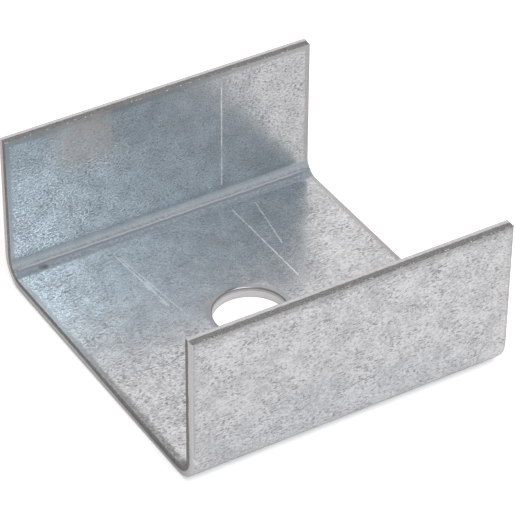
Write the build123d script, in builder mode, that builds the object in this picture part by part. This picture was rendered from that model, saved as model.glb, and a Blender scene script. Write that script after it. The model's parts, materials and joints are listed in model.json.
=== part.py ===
from build123d import *
import os

# U bracket: one strip of galvanised sheet steel, punched, cut off and folded twice into a channel.
# A timber sits between the two upright flanges, and one bolt through the base holds it down.
# Sizes are in millimetres. The origin is on the underside of the base, in its centre:
# X runs along the two bends, Y across the flanges and Z up.

# Driving dimensions
clear_width = 50.0  # between the inner faces of the flanges
bracket_length = 50.0  # along the bends
flange_height = 24.4  # from the underside of the base to the tops of the flanges
sheet_thickness = 1.8
inner_bend_radius = 2.4
hole_diameter = 11.0  # clearance for an M10 bolt
die_roll_radius = 0.25  # rounding on the side of a sheared edge where the blade went in

os.makedirs("parts", exist_ok=True)

with BuildPart() as u_bracket:
    # The folded section follows the channel's inner face, with the sheet's thickness outside it.
    with BuildSketch(Plane.YZ):
        with BuildLine() as section:
            Polyline(
                (-clear_width / 2, flange_height),
                (-clear_width / 2, sheet_thickness),
                (clear_width / 2, sheet_thickness),
                (clear_width / 2, flange_height),
            )
            fillet(section.vertices().group_by(Axis.Y)[0], radius=inner_bend_radius)
            offset(amount=sheet_thickness, side=Side.RIGHT)
        make_face()
    extrude(amount=bracket_length / 2, both=True)

    # One bolt hole is punched through the middle of the base.
    with Locations((0, 0, sheet_thickness)):
        Hole(radius=hole_diameter / 2)

    # The sides of the strip were sheared with the blade on what is now the outer face, so that face's
    # edges are rolled over. The rounding follows each end from one flange, round both bends, to the other.
    underside = u_bracket.faces().sort_by(Axis.Z)[0]
    strip_edges = underside.edges().filter_by(Axis.Y)

    # The strip was cut to length from opposite sides, so one flange is rolled over at the outer edge of
    # its top and the other at the inner edge.
    top_edges = u_bracket.edges().filter_by(Axis.X).group_by(Axis.Z)[-1].sort_by(Axis.Y)
    front_outer_edge, front_inner_edge, back_inner_edge, back_outer_edge = top_edges
    fillet(strip_edges + [front_inner_edge, back_outer_edge], radius=die_roll_radius)

u_bracket.part.label = "u_bracket"
export_step(u_bracket.part, "parts/u_bracket.step")
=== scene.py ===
import json
import math

import bmesh
import bpy
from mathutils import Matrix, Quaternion, Vector


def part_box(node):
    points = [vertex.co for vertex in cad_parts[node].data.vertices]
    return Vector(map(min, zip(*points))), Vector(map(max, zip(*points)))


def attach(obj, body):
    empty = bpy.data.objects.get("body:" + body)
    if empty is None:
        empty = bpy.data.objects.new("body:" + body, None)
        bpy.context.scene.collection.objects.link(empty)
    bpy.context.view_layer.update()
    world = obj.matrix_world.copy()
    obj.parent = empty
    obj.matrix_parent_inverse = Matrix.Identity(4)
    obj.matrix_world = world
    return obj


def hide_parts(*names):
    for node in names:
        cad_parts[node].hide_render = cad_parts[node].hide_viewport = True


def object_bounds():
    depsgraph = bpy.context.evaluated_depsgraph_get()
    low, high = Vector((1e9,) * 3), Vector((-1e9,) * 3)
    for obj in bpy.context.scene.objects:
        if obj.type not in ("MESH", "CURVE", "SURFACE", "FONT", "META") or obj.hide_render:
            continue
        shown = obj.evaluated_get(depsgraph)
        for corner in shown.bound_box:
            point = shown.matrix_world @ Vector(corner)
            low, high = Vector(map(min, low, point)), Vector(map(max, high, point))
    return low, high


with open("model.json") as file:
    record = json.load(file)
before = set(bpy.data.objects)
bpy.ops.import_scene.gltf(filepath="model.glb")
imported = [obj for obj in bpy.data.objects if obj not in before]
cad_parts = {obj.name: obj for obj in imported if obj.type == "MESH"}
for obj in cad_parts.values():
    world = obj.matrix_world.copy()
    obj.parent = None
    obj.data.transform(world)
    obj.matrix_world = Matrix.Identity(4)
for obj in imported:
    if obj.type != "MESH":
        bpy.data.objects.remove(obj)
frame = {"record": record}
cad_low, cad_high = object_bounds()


# ---- The bracket ---------------------------------------------------------------------------------
# The real piece is one strip of zinc-coated steel sheet. It is punched with one round hole, cut off
# and folded twice in a press, so it has a flat base, two upright flanges and rounded bends. The zinc
# is dull and slightly blue, and the cuts show bare steel.

MM = 0.001
low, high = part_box("u_bracket")
mounts = {mount["name"]: mount for mount in frame["record"]["mounts"]}
hole_radius = mounts["bolt_hole"]["dims"]["r_mm"] * MM
thickness = mounts["timber_seat"]["pos_m"][2]
inner_bend_radius = 2.4 * MM
outer_bend_radius = inner_bend_radius + thickness
half_length = high.x
half_width = high.y
height = high.z
base_half_width = half_width - outer_bend_radius
cell = 0.4 * MM  # the size of the mesh's faces on the base
bend_steps = 12
die_roll = 0.26 * MM  # rounding on the side of a cut where the blade went in
burr_break = 0.05 * MM  # ragged corner on its other side
cut_rows = 7  # rows of faces through the thickness of a cut
tear_start = 0.45  # share of a cut's depth that the blade sliced before the steel tore
tear_full = 0.60  # share at which the torn steel is at its most uneven
tear_relief = 0.14 * MM  # how deep the tearing cuts in
near = cell / 20


def depth(co):
    """How far through the sheet a point lies, from 0 on the outer face to 1 on the inner one."""
    past_base = abs(co.y) - base_half_width
    if past_base <= 0:
        return co.z / thickness
    if co.z < outer_bend_radius:
        return (outer_bend_radius - math.hypot(past_base, outer_bend_radius - co.z)) / thickness
    return (half_width - abs(co.y)) / thickness


def on_side(co):
    return abs(co.x) > half_length - near


def on_hole(co):
    return math.hypot(co.x, co.y) < hole_radius + near


def on_top(co):
    return co.z > height - near


def hole_depth(co):
    """Depth from the side where the punch went in, which was inside the channel."""
    return 1 - depth(co)


def top_depth(co):
    """Depth from the blade on the tops: outside the back flange, but inside the front one."""
    return depth(co) if co.y > 0 else 1 - depth(co)


def torn_sooner(along):
    """How much sooner the ends tore, by the millimetres along the strip: most beside the front bend."""
    beside_front_bend = math.exp(-(((along + 18) / 13) ** 2))
    on_back_half = 1 if along > 0 else math.exp(-((along / 12) ** 2))
    return -0.15 + 0.25 * beside_front_bend + 0.10 * on_back_half


def pick(kind, test):
    """Leaves only those vertices, edges or faces selected whose corners pass the test together."""
    mesh = bmesh.from_edit_mesh(bpy.context.edit_object.data)
    bpy.ops.mesh.select_all(action="DESELECT")
    for item in getattr(mesh, kind):
        corners = [item.co] if kind == "verts" else [v.co for v in item.verts]
        if test(corners):
            item.select_set(True)
    bmesh.update_edit_mesh(bpy.context.edit_object.data)


def modify(piece, name, kind, **settings):
    """Adds a modifier, sets it and applies it."""
    modifier = piece.modifiers.new(name, kind)
    for key, value in settings.items():
        setattr(modifier, key, value)
    bpy.ops.object.modifier_apply(modifier=name)


# The flat base: a square of faces is taken out of its middle and the opening is made round
bpy.ops.object.select_all(action="DESELECT")
bpy.ops.mesh.primitive_grid_add(
    x_subdivisions=2 * round(half_length / cell),
    y_subdivisions=2 * round(base_half_width / cell),
    size=1,
)
bracket = bpy.context.active_object
bracket.name = "folded_sheet"
bpy.ops.object.mode_set(mode="EDIT")
bpy.ops.transform.resize(value=(2 * half_length, 2 * base_half_width, 1), center_override=(0, 0, 0))
half_square = hole_radius + cell / 4


def in_square(corners):
    return all(max(abs(co.x), abs(co.y)) < half_square for co in corners)


pick("faces", in_square)
bpy.ops.mesh.delete(type="FACE")
bpy.ops.mesh.select_mode(type="VERT")
pick("verts", in_square)
bpy.ops.transform.tosphere(value=1, center_override=(0, 0, 0))
rim = [v.co.length for v in bmesh.from_edit_mesh(bracket.data).verts if v.select]
to_size = hole_radius / (sum(rim) / len(rim))
bpy.ops.transform.resize(value=(to_size, to_size, 1), center_override=(0, 0, 0))

# Each bend is a spin of the base's edge, and each flange is drawn up from its bend
bpy.ops.mesh.select_mode(type="EDGE")
flange_rows = round((height - outer_bend_radius) / cell / 2)
flange_row = (height - outer_bend_radius) / flange_rows
for side in (-1, 1):
    bend_line = side * base_half_width
    pick("edges", lambda corners: all(abs(co.y - bend_line) < near and co.z < near for co in corners))
    bpy.ops.mesh.spin(
        steps=bend_steps,
        angle=-side * math.pi / 2,
        center=(0, bend_line, outer_bend_radius),
        axis=(1, 0, 0),
    )
    for row in range(flange_rows):
        bpy.ops.mesh.extrude_region_move(TRANSFORM_OT_translate={"value": (0, 0, flange_row)})
bpy.ops.mesh.select_all(action="SELECT")
bpy.ops.mesh.remove_doubles(threshold=near)
bpy.ops.mesh.normals_make_consistent(inside=False)
bpy.ops.object.mode_set(mode="OBJECT")
modify(bracket, "sheet", "SOLIDIFY", thickness=thickness, offset=-1, use_even_offset=True)

# The cuts: rolled over where the blade went in, a ragged corner where it came out. The two ends of the
# channel were cut from outside.
bpy.ops.object.mode_set(mode="EDIT")
cuts = ((on_side, depth), (on_hole, hole_depth), (on_top, top_depth))
for lowest, highest, radius, segments in ((-0.1, 0.1, die_roll, 4), (0.9, 1.1, burr_break, 1)):
    pick("edges", lambda corners: any(
        all(on_cut(co) and lowest < from_blade(co) < highest for co in corners)
        for on_cut, from_blade in cuts
    ))
    bpy.ops.mesh.bevel(offset=radius, segments=segments, affect="EDGES")
pick("edges", lambda corners: abs(depth(corners[0]) - depth(corners[1])) > 0.5)
bpy.ops.mesh.subdivide(number_cuts=cut_rows - 1)
bpy.ops.object.mode_set(mode="OBJECT")

# Each cut has a map of its own: across is millimetres along the cut, up is the depth from the blade.
# Up is shifted where the steel tore sooner or later: soonest beside the front bend, and hardly at all
# in the hole.
cut_map = bracket.data.uv_layers.new(name="cut")
CUT = 1  # the material's place, after the sheet's own
top_torn_sooner = 0.08
hole_torn_later = 0.50
for face in bracket.data.polygons:
    if not 0.01 < depth(face.center) < 0.99:
        continue
    face.material_index = CUT
    top = face.center.z > height - thickness / 2 and face.normal.z > abs(face.normal.x)
    hole = math.hypot(face.center.x, face.center.y) < hole_radius + thickness
    for loop in face.loop_indices:
        co = bracket.data.vertices[bracket.data.loops[loop].vertex_index].co
        if top:
            across, up = co.x, top_depth(co) + top_torn_sooner
        elif hole:
            across = math.atan2(face.center.y, face.center.x) * hole_radius
            up = hole_depth(co) - hole_torn_later
        else:
            across = co.y + math.copysign(co.z, co.y)
            up = depth(co) + torn_sooner(across / MM)
        cut_map.data[loop].uv = (across / MM, up)

# The torn part of each cut is uneven
torn = bracket.vertex_groups.new(name="torn")
for vertex in bracket.data.vertices:
    co = vertex.co
    for on_cut, from_blade in cuts:
        if on_cut(co) and tear_start < from_blade(co) < 1.01:
            unevenness = (from_blade(co) - tear_start) / (tear_full - tear_start)
            torn.add([vertex.index], min(1, unevenness), "REPLACE")
tear = bpy.data.textures.new("torn steel", "CLOUDS")
tear.noise_scale = 0.5 * MM
tear.noise_depth = 2
modify(
    bracket, "tearing", "DISPLACE", texture=tear, texture_coords="LOCAL",
    vertex_group="torn", strength=tear_relief, mid_level=1,
)
bpy.ops.object.shade_smooth_by_angle(angle=math.radians(40))


def add(tree, kind, values=None, **settings):
    """Adds a node. Values go to its inputs, as links where they are sockets."""
    made = tree.nodes.new(kind)
    for name, value in settings.items():
        setattr(made, name, value)
    for name, value in (values or {}).items():
        if isinstance(value, bpy.types.NodeSocket):
            tree.links.new(value, made.inputs[name])
        else:
            made.inputs[name].default_value = value
    return made


def maths(tree, operation, *values, clamp=False):
    made = add(tree, "ShaderNodeMath", dict(enumerate(values)), operation=operation, use_clamp=clamp)
    return made.outputs[0]


def vectors(tree, operation, values, output=0):
    return add(tree, "ShaderNodeVectorMath", values, operation=operation).outputs[output]


def times(tree, first, *others):
    for other in others:
        first = maths(tree, "MULTIPLY", first, other)
    return first


def ramp(tree, value, start, end, low=0.0, high=1.0):
    """Goes smoothly from low to high as the value goes from start to end."""
    values = {"Value": value, "From Min": start, "From Max": end, "To Min": low, "To Max": high}
    return add(tree, "ShaderNodeMapRange", values, interpolation_type="SMOOTHSTEP").outputs[0]


def band(tree, value, start, full, fading, end):
    """Goes smoothly from 0 at start to 1 at full, and from 1 at fading back to 0 at end."""
    return times(tree, ramp(tree, value, start, full), ramp(tree, value, end, fading))


def noise(tree, place, scale, detail=2.0, roughness=0.5):
    """Noise of about that many features to a millimetre."""
    values = {"Vector": place, "Scale": scale, "Detail": detail, "Roughness": roughness}
    return add(tree, "ShaderNodeTexNoise", values).outputs["Fac"]


def stretched(tree, place, scale):
    return add(tree, "ShaderNodeMapping", {"Vector": place, "Scale": scale}).outputs[0]


def blend(tree, factor, first, second):
    """Mixes two colours, each of them a socket or red, green and blue."""
    mix = add(tree, "ShaderNodeMix", data_type="RGBA")
    for name, value in (("Factor", factor), ("A", first), ("B", second)):
        kind = "VALUE" if name == "Factor" else "RGBA"
        socket = next(socket for socket in mix.inputs if (socket.name, socket.type) == (name, kind))
        if isinstance(value, bpy.types.NodeSocket):
            tree.links.new(value, socket)
        else:
            socket.default_value = (*value, 1)
    return next(socket for socket in mix.outputs if socket.type == "RGBA")


def new_material(name):
    """A material, its parts, and the place on the surface in millimetres."""
    material = bpy.data.materials.new(name)
    material.use_nodes = True
    tree = material.node_tree
    from_object = add(tree, "ShaderNodeTexCoord").outputs["Object"]
    place = vectors(tree, "SCALE", {0: from_object, "Scale": 1 / MM})
    return material, tree, tree.nodes["Principled BSDF"].inputs, place


def metal(tree, shader, tone, roughness, relief, relief_height):
    shader["Metallic"].default_value = 1.0
    tree.links.new(tone, shader["Base Color"])
    tree.links.new(roughness, shader["Roughness"])
    bump = add(tree, "ShaderNodeBump", {"Height": relief, "Distance": relief_height, "Strength": 1.0})
    tree.links.new(bump.outputs[0], shader["Normal"])


def from_hole_axis(tree, place):
    return vectors(tree, "LENGTH", {0: stretched(tree, place, (1, 1, 0))}, "Value")


# A scratch is a straight, broken line between two points of the surface
scratch = bpy.data.node_groups.new("scratch", "ShaderNodeTree")
for socket, kind in (("Place", "Vector"), ("From", "Vector"), ("To", "Vector"), ("Width", "Float")):
    scratch.interface.new_socket(socket, in_out="INPUT", socket_type="NodeSocket" + kind)
scratch.interface.new_socket("Mask", in_out="OUTPUT", socket_type="NodeSocketFloat")
given = scratch.nodes.new("NodeGroupInput").outputs
result = scratch.nodes.new("NodeGroupOutput").inputs
line = vectors(scratch, "SUBTRACT", {0: given["To"], 1: given["From"]})
offset = vectors(scratch, "SUBTRACT", {0: given["Place"], 1: given["From"]})
along_line = vectors(scratch, "DOT_PRODUCT", {0: line, 1: offset}, "Value")
whole_line = vectors(scratch, "DOT_PRODUCT", {0: line, 1: line}, "Value")
share = maths(scratch, "DIVIDE", along_line, whole_line, clamp=True)
nearest = vectors(scratch, "SCALE", {0: line, "Scale": share})
distance = vectors(scratch, "DISTANCE", {0: offset, 1: nearest}, "Value")
broken = ramp(scratch, noise(scratch, given["Place"], 1.1), 0.3, 0.5, 0.45, 1.0)
core = ramp(scratch, maths(scratch, "DIVIDE", distance, given["Width"]), 0.35, 1.0, 1.0, 0.0)
scratch.links.new(times(scratch, core, broken), result["Mask"])

# The galvanised sheet. Places and lengths in the materials are in millimetres, apart from the heights
# of their relief.
galvanised, tree, shader, place = new_material("galvanised sheet")
axes = add(tree, "ShaderNodeSeparateXYZ", {0: place}).outputs
x, y, z = axes["X"], axes["Y"], axes["Z"]
seat = thickness / MM
front = -half_width / MM
back = half_width / MM - seat

# The inner face of the sheet, and the part of it that is in the two bends
past_base = maths(tree, "SUBTRACT", maths(tree, "ABSOLUTE", y), base_half_width / MM)
below_bend = maths(tree, "SUBTRACT", outer_bend_radius / MM, z)
spoke = add(tree, "ShaderNodeCombineXYZ", {
    "X": maths(tree, "MAXIMUM", past_base, 0.0),
    "Y": maths(tree, "MAXIMUM", below_bend, 0.0),
}).outputs[0]
from_centre = vectors(tree, "LENGTH", {0: spoke}, "Value")
mid_radius = (inner_bend_radius + thickness / 2) / MM
inside = ramp(tree, from_centre, mid_radius + 0.1, mid_radius - 0.1)
in_bend = times(tree, ramp(tree, past_base, -0.9, 0.3), ramp(tree, below_bend, -1.0, 0.2), inside)

# The blade pressed a smooth, dull margin beside each cut, wider inside than outside, and bending has
# worked the coat a little too. Both are painted darker, partly for the pressed coat and partly as
# painted shade on the rolled slopes beside the cuts and in the bends
from_end = maths(tree, "SUBTRACT", half_length / MM, maths(tree, "ABSOLUTE", x))
from_top = maths(tree, "SUBTRACT", height / MM, z)
from_hole = maths(tree, "SUBTRACT", from_hole_axis(tree, place), hole_radius / MM)
from_cut = maths(tree, "MINIMUM", maths(tree, "MINIMUM", from_end, from_top), from_hole)
margin = times(tree, noise(tree, place, 1.6, detail=5.0, roughness=0.75), 1.3)
narrowed = times(tree, margin, ramp(tree, inside, 0.0, 1.0, 0.35, 1.0))
pressed_margin_and_shade = ramp(tree, maths(tree, "SUBTRACT", from_cut, narrowed), -0.1, 0.4, 0.8, 0.0)
worked_and_shaded = maths(tree, "MAXIMUM", pressed_margin_and_shade, times(tree, in_bend, 0.35))

# Where the blade came out, the coat is torn and dark in patches: inside the two ends, most towards the
# front, and outside the top of the front flange
beside_end = ramp(tree, maths(tree, "SUBTRACT", from_end, margin), -0.1, 0.7, 1.0, 0.0)
beside_end = times(tree, beside_end, inside, ramp(tree, y, 18.0, -18.0))
beside_top = ramp(tree, maths(tree, "SUBTRACT", from_top, margin), -0.1, 0.7, 0.5, 0.0)
beside_top = times(tree, beside_top, ramp(tree, y, front + 0.4, front + 0.2))
patches = ramp(tree, noise(tree, place, 2.6, detail=4.0, roughness=0.7), 0.38, 0.58, 0.25, 1.0)
smudged = times(tree, maths(tree, "MAXIMUM", beside_end, beside_top), patches)

# Inside each bend the press tool rubbed the coat, and the band is painted darker towards the crease and
# on the base side below it, as shade. Its corner left a crease, painted with a highlight line and a shade
# line. The angle goes from 0 at the flange to a quarter turn at the base.
crease_angle = math.radians(48)
angle = maths(tree, "ARCTAN2", below_bend, past_base)
rub_and_bend_shade = times(tree, band(tree, angle, 0.0, 0.30, 1.20, 1.56), in_bend)
past_crease = times(tree, maths(tree, "SUBTRACT", angle, crease_angle), inner_bend_radius / MM)
waver = times(tree, noise(tree, place, 0.5, detail=3.0), 0.25)
crease_place = maths(tree, "ADD", past_crease, waver)
crease_length = times(tree, in_bend, ramp(tree, from_end, 0.2, 2.0))
# Along the crease: a painted highlight line and a painted shade line; they also shape the crease's relief
painted_highlight_line = times(tree, band(tree, crease_place, -0.26, -0.12, 0.0, 0.10), crease_length)
painted_shade_line = times(tree, band(tree, crease_place, 0.04, 0.14, 0.28, 0.50), crease_length)

# Rolling drew the grain out along the strip: a fine grain of bright plateaus and rough pits, dark flecks
# in loose clusters where the coat is spent, and a slow mottle
rolled = stretched(tree, place, (0.62, 1, 1))
grain = noise(tree, rolled, 3.6, detail=3.0, roughness=0.65)
clusters = times(tree, noise(tree, rolled, 0.45, detail=2.0), 0.30)
specks = noise(tree, stretched(tree, place, (0.45, 1, 1)), 4.0, detail=2.5, roughness=0.6)
flecks = ramp(tree, maths(tree, "ADD", specks, clusters), 0.69, 0.80)
flecks = times(tree, flecks, maths(tree, "SUBTRACT", 1.0, worked_and_shaded))
mottle = noise(tree, place, 0.35, detail=3.0)
shade = maths(tree, "ADD", times(tree, mottle, 0.35), times(tree, grain, 0.65))

# Marks of handling: scratches and scuffs, then spots of dirt, as start, end, width and strength
scratches = (
    ((10.0, back, 21.8), (10.0, back, 4.7), 0.13, 1.0),
    ((-11.5, back, 16.0), (-11.5, back, 14.0), 0.10, 0.3),
    ((-10.2, back, 16.4), (-10.2, back, 11.9), 0.10, 0.3),
    ((-9.2, back, 17.8), (-9.2, back, 8.9), 0.10, 0.35),
    ((10.1, 22.0, seat), (10.2, 3.8, seat), 0.16, 0.8),
    ((14.0, 22.0, seat), (12.2, 11.5, seat), 0.16, 0.6),
    ((-10.3, 21.0, seat), (-9.3, 7.0, seat), 0.18, 0.5),
    ((-9.9, 20.5, seat), (-8.3, 5.0, seat), 0.14, 0.45),
    ((-9.6, 13.0, seat), (-9.7, 11.5, seat), 0.55, 0.5),
    ((-9.7, 8.4, seat), (-9.5, 7.4, seat), 0.40, 0.4),
    ((0.8, front, 10.5), (7.1, front, 10.4), 0.12, 0.15),
    ((-24.9, front, 4.9), (-24.5, front, 4.2), 0.30, 0.6),
)
dirt_spots = (
    ((-20.9, 23.7, 2.1), (-20.1, 23.6, 2.1), 0.50, 0.6),
    ((-15.2, -4.2, seat), (-12.4, -3.1, seat), 0.22, 0.45),
)


def drawn(tree, place, marks):
    """The marks of a list, laid over each other."""
    all_marks = 0.0
    for start, end, width, strength in marks:
        values = {"Place": place, "From": start, "To": end, "Width": width}
        mask = add(tree, "ShaderNodeGroup", values, node_tree=scratch).outputs["Mask"]
        all_marks = maths(tree, "MAXIMUM", times(tree, mask, strength), all_marks)
    return all_marks


scratched = drawn(tree, place, scratches)
dirty = drawn(tree, place, dirt_spots)

# A patch high on the back flange, rubbed paler
rubbed_paler = times(
    tree,
    band(tree, y, back - 0.3, back - 0.1, back + 0.2, back + 0.4),
    band(tree, x, -19.5, -14.0, -8.6, -7.6),
    ramp(tree, z, 15.0, 19.0),
    ramp(tree, noise(tree, place, 0.8, detail=3.0), 0.3, 0.6, 0.35, 1.0),
)

# The coat's colours, from the zinc itself to what lies on top of it
dull_zinc, bright_zinc = (0.385, 0.467, 0.522), (0.53, 0.638, 0.707)
spent_zinc = (0.285, 0.34, 0.375)
# Painted darker partly for the pressed coat, partly as painted shade beside the cuts and in the bends
pressed_zinc_and_shade = (0.33, 0.395, 0.435)
torn_zinc = (0.19, 0.23, 0.25)
# The bend: painted shade, darker towards the crease and on the base side below it
bend_by_flange, painted_shade_above_crease, painted_shade_below_crease = (
    (0.41, 0.515, 0.585), (0.225, 0.288, 0.34), (0.26, 0.345, 0.42)
)
# The crease's painted highlight and painted shade
crease_painted_highlight, crease_painted_shade = (0.40, 0.49, 0.57), (0.25, 0.315, 0.37)
pale_patch = (0.58, 0.59, 0.58)
dirt = (0.10, 0.12, 0.13)
scratched_zinc = (0.82, 0.93, 1.0)
zinc = blend(tree, ramp(tree, shade, 0.38, 0.62), dull_zinc, bright_zinc)
bend_painted_shade = blend(tree, ramp(tree, angle, 0.45, 0.75), bend_by_flange, painted_shade_above_crease)
bend_painted_shade = blend(tree, ramp(tree, past_crease, -0.1, 0.3), bend_painted_shade, painted_shade_below_crease)
bend_painted_shade = blend(tree, ramp(tree, grain, 0.35, 0.65, 0.0, 0.45), bend_painted_shade, zinc)
tone = zinc
for amount, colour in (
    (flecks, spent_zinc),
    (worked_and_shaded, pressed_zinc_and_shade),
    (smudged, torn_zinc),
    (rub_and_bend_shade, bend_painted_shade),
    (painted_highlight_line, crease_painted_highlight),
    (painted_shade_line, crease_painted_shade),
    (times(tree, rubbed_paler, 0.5), pale_patch),
    (dirty, dirt),
    (scratched, scratched_zinc),
):
    tone = blend(tree, amount, tone, colour)

# Its gloss: plateaus shine, and pits, flecks, margins, bends and rubbed places are duller
roughness = ramp(tree, ramp(tree, grain, 0.56, 0.42), 0.0, 1.0, 0.20, 0.40)
roughness = maths(tree, "ADD", roughness, times(tree, flecks, 0.2))
roughness = maths(tree, "MAXIMUM", roughness, times(tree, worked_and_shaded, 0.45))
roughness = maths(tree, "MAXIMUM", roughness, times(tree, rub_and_bend_shade, 0.75))
rubbed = maths(tree, "MAXIMUM", rubbed_paler, scratched)
roughness = maths(tree, "ADD", roughness, times(tree, rubbed, 0.15))

# Its relief: flat plateaus, pits, flecks a little lower, and the crease
calm = maths(tree, "SUBTRACT", 1.0, times(tree, worked_and_shaded, 0.5))
plateaus = maths(tree, "MINIMUM", grain, 0.52)
relief = times(tree, maths(tree, "SUBTRACT", plateaus, times(tree, flecks, 0.3)), calm)
crease = maths(tree, "SUBTRACT", painted_shade_line, painted_highlight_line)
relief = maths(tree, "SUBTRACT", relief, times(tree, crease, 0.8))
metal(tree, shader, tone, roughness, relief, 0.019 * MM)

# The sheared steel of the cuts. A cut is smooth and bright for the first part of its depth, where the
# blade sliced, and dark and grainy where the steel tore. The last corner is a burr with bright crumbs.
sheared, tree, shader, place = new_material("sheared steel")
cut_place = add(tree, "ShaderNodeUVMap", uv_map="cut").outputs[0]
up = add(tree, "ShaderNodeSeparateXYZ", {0: cut_place}).outputs["Y"]
waver = maths(tree, "SUBTRACT", noise(tree, stretched(tree, cut_place, (1, 0, 1)), 1.0), 0.5)
wavy_up = maths(tree, "ADD", up, times(tree, waver, 0.14))
torn_steel = ramp(tree, wavy_up, tear_start, tear_start + 0.09)
crumbs = noise(tree, place, 5.0, detail=3.0, roughness=0.7)
drag = noise(tree, stretched(tree, cut_place, (1, 0.25, 1)), 4.0, detail=3.0, roughness=0.6)
smooth_dark, smooth_light = (0.39, 0.47, 0.52), (0.47, 0.56, 0.62)
torn_dark, torn_light = (0.14, 0.17, 0.187), (0.25, 0.30, 0.325)
smooth_tone = blend(tree, ramp(tree, drag, 0.3, 0.7), smooth_dark, smooth_light)
torn_tone = blend(tree, ramp(tree, crumbs, 0.35, 0.65), torn_dark, torn_light)
tone = blend(tree, torn_steel, smooth_tone, torn_tone)

# The punched wall of the hole is painted darker towards its rolled edge, and the rolled edge itself is
# painted as a dark ring, both as shade
wall_shaded_by_roll, wall_bright, rolled_edge_shade = (0.36, 0.42, 0.46), (0.55, 0.635, 0.69), (0.25, 0.295, 0.325)
wall = blend(tree, ramp(tree, wavy_up, -0.20, -0.08), wall_shaded_by_roll, wall_bright)
in_hole = maths(tree, "LESS_THAN", from_hole_axis(tree, place), hole_radius / MM + 0.5)
tone = blend(tree, in_hole, tone, wall)
# The rolled edge of the hole: a dark ring of painted shade
tone = blend(tree, ramp(tree, up, -0.32, -0.40), tone, rolled_edge_shade)

bright_crumb = (0.70, 0.80, 0.88)
burr = times(tree, ramp(tree, up, 0.84, 0.95), ramp(tree, noise(tree, place, 3.6, detail=3.0), 0.59, 0.66))
tone = blend(tree, burr, tone, bright_crumb)
roughness = ramp(tree, torn_steel, 0, 1, 0.35, 0.6)
relief = blend(tree, torn_steel, times(tree, drag, 0.3), crumbs)
metal(tree, shader, tone, roughness, relief, 0.04 * MM)

bracket.data.materials.append(galvanised)
bracket.data.materials.append(sheared)
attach(bracket, "root")
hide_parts("u_bracket")


# ---- The floor -----------------------------------------------------------------------------------
# A plain white table, wide enough to fill every view. It lies a hair below the bracket, and from
# beneath it is clear, so that the bracket's underside shows and has light.
gap = 0.05 * MM
bpy.ops.object.select_all(action="DESELECT")
bpy.ops.mesh.primitive_plane_add(size=6, location=(0, 0, cad_low[2] - gap))
floor = bpy.context.active_object
floor.name = "floor"
white, tree, shader, _ = new_material("white table")
shader["Base Color"].default_value = (0.9, 0.9, 0.9, 1)
shader["Roughness"].default_value = 0.9
shader["Emission Color"].default_value = (0.33, 0.40, 0.43, 1)
ray = add(tree, "ShaderNodeLightPath").outputs
tree.links.new(ray["Is Camera Ray"], shader["Emission Strength"])
beneath = add(tree, "ShaderNodeNewGeometry").outputs["Backfacing"]
under_bracket = maths(tree, "LESS_THAN", ray["Ray Length"], 6 * gap)
through = maths(tree, "MAXIMUM", beneath, under_bracket)
table = tree.nodes["Principled BSDF"].outputs[0]
clear = add(tree, "ShaderNodeBsdfTransparent").outputs[0]
surface = add(tree, "ShaderNodeMixShader", {0: through, 1: table, 2: clear}).outputs[0]
tree.links.new(surface, tree.nodes["Material Output"].inputs["Surface"])
floor.data.materials.append(white)


# ---- The light -----------------------------------------------------------------------------------
# A dim white tent all round, a soft box above the front and a wide one low behind the bracket.
warm_white = (1.27, 1.04, 0.95)
world = bpy.data.worlds.new("light tent")
world.use_nodes = True
background = world.node_tree.nodes["Background"].inputs
background["Color"].default_value = (*warm_white, 1)
background["Strength"].default_value = 0.49
bpy.context.scene.world = world
bpy.context.scene.view_settings.view_transform = "Standard"

for name, turn, lift, distance, width, length, brightness in (
    ("top_box", 180, 55, 0.20, 0.12, 0.12, 4.55),
    ("back_box", 30, 40, 0.20, 0.30, 0.24, 0.48),
):
    turn, lift = math.radians(turn), math.radians(lift)
    away = Vector((math.sin(turn) * math.cos(lift), math.cos(turn) * math.cos(lift), math.sin(lift)))
    lamp = bpy.data.lights.new(name, "AREA")
    lamp.shape = "RECTANGLE"
    lamp.size, lamp.size_y = width, length
    lamp.energy = 4 * width * length * brightness
    lamp.color = warm_white
    box = bpy.data.objects.new(name, lamp)
    bpy.context.scene.collection.objects.link(box)
    box.location = Vector((0, 0, 0.008)) + distance * away
    box.rotation_mode = "QUATERNION"
    box.rotation_quaternion = (-away).to_track_quat("-Z", "Y")
    box.visible_camera = False


# ---- The camera ----------------------------------------------------------------------------------
# It looks down on the bracket from the front, a little to the left, through a long lens.
view_turn = math.radians(31.4)
view_pitch = math.radians(37.15)
view_roll = math.radians(0.45)
view_distance = 0.427
aim = Vector((0.0039, 0.0047, 0.0067))
forward = Vector((
    math.sin(view_turn) * math.cos(view_pitch),
    math.cos(view_turn) * math.cos(view_pitch),
    -math.sin(view_pitch),
))
camera_data = bpy.data.cameras.new("camera")
camera_data.lens = 210.65
camera_data.sensor_width = 36
camera_data.clip_start = 0.01
camera = bpy.data.objects.new("camera", camera_data)
bpy.context.scene.collection.objects.link(camera)
camera.location = aim - view_distance * forward
camera.rotation_mode = "QUATERNION"
camera.rotation_quaternion = forward.to_track_quat("-Z", "Y") @ Quaternion((0, 0, 1), view_roll)
bpy.context.scene.camera = camera
